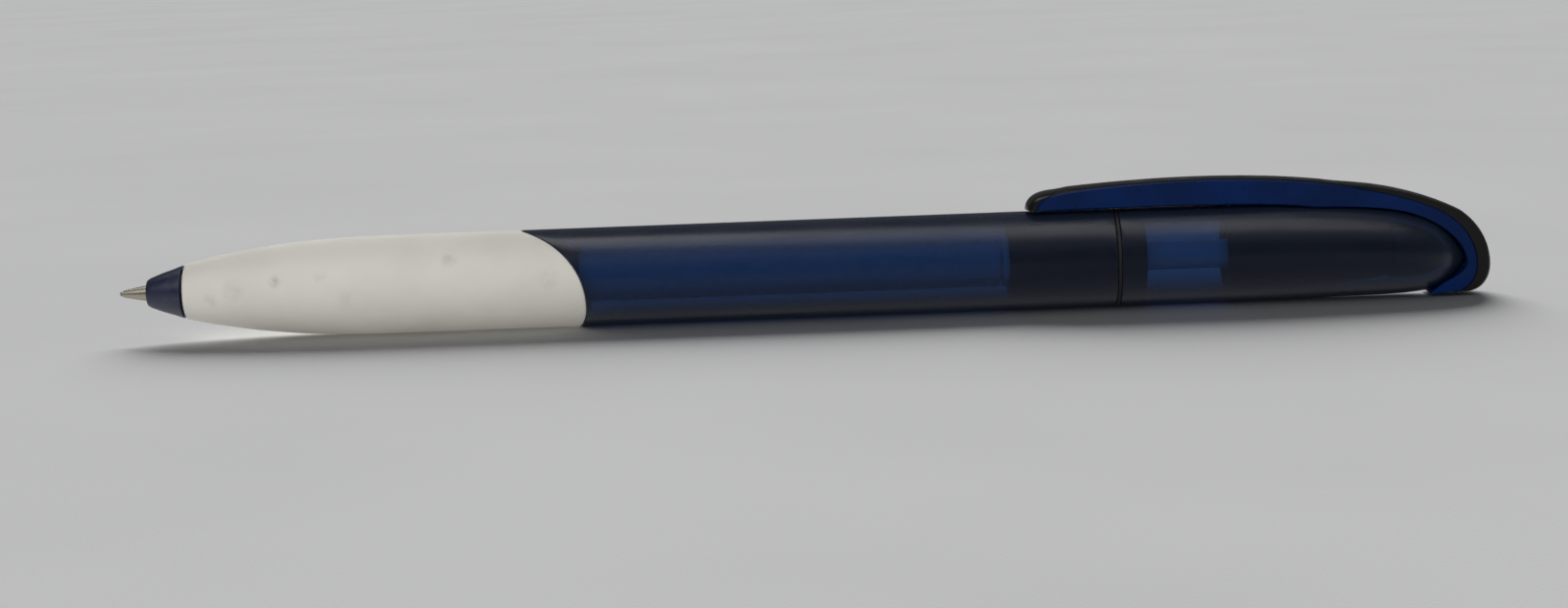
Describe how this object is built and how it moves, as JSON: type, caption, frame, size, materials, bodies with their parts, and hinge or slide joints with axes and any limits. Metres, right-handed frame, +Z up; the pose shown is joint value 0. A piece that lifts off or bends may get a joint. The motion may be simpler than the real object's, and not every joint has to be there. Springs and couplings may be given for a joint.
{
  "type": "gel pen",
  "caption": "Twist-action retractable gel pen with a soft grip, a translucent barrel and a flexing clip that wraps round its rear end.",
  "frame": {"origin": "under the middle of the pen's length, on the surface that it lies on", "axes": "+X along the pen from the writing point to the clip end, +Z up through the clip"},
  "size_m": [0.1424, 0.0102, 0.0132],
  "materials": {
    "grip": "matte",
    "barrel": "polished, translucent",
    "nose": "satin",
    "mechanism": "satin",
    "clip": "polished",
    "clip_cover": "polished",
    "tip": "nickel plated",
    "ball": "polished",
    "spring": "bright drawn wire",
    "seal": "matte",
    "natural_plastic": "natural",
    "ink_tube": "clear",
    "ink": "wet",
    "grease": "clear grease"
  },
  "bodies": {
    "barrel": {"grip_sleeve": "grip", "front_barrel": "barrel", "nose_cone": "nose", "guide_sleeve": "mechanism", "seam_ring": "mechanism", "retaining_ring": "spring", "friction_ring": "seal"},
    "rear": {"rear_barrel": "barrel", "neck_bush": "mechanism", "cam_barrel": "mechanism", "end_plug": "mechanism", "clip_band": "clip", "band_cover": "clip_cover"},
    "clip": {"clip_arm": "clip", "arm_cover": "clip_cover"},
    "refill": {"writing_tip": "tip", "tip_holder": "natural_plastic", "ink_tube": "ink_tube", "ink_column": "ink", "ink_follower": "grease", "refill_plug": "natural_plastic", "return_spring": "spring", "pusher": "natural_plastic"},
    "ball": {"tip_ball": "ball"}
  },
  "joints": [
    {"name": "twist", "type": "hinge", "parent": "barrel", "child": "rear", "pos_m": [0.03235, 0, 0.0051], "axis": [1, 0, 0], "range_deg": [0, 180]},
    {"name": "refill_slide", "type": "slide", "parent": "barrel", "child": "refill", "axis": [1, 0, 0], "range_m": [0, 0.006], "deforming": ["return_spring"]},
    {"name": "clip_flex", "type": "hinge", "parent": "rear", "child": "clip", "pos_m": [0.05375, 0, 0.0111], "axis": [0, 1, 0], "range_deg": [0, 4], "stiffness_Nm_per_rad": 0.6},
    {"name": "ball_roll", "type": "hinge", "parent": "refill", "child": "ball", "pos_m": [-0.071, 0, 0.0051], "axis": [0, 1, 0], "continuous": true}
  ],
  "couplings": [
    {"joint": "twist", "follows": "refill_slide", "rad_per_m": 523.59}
  ]
}
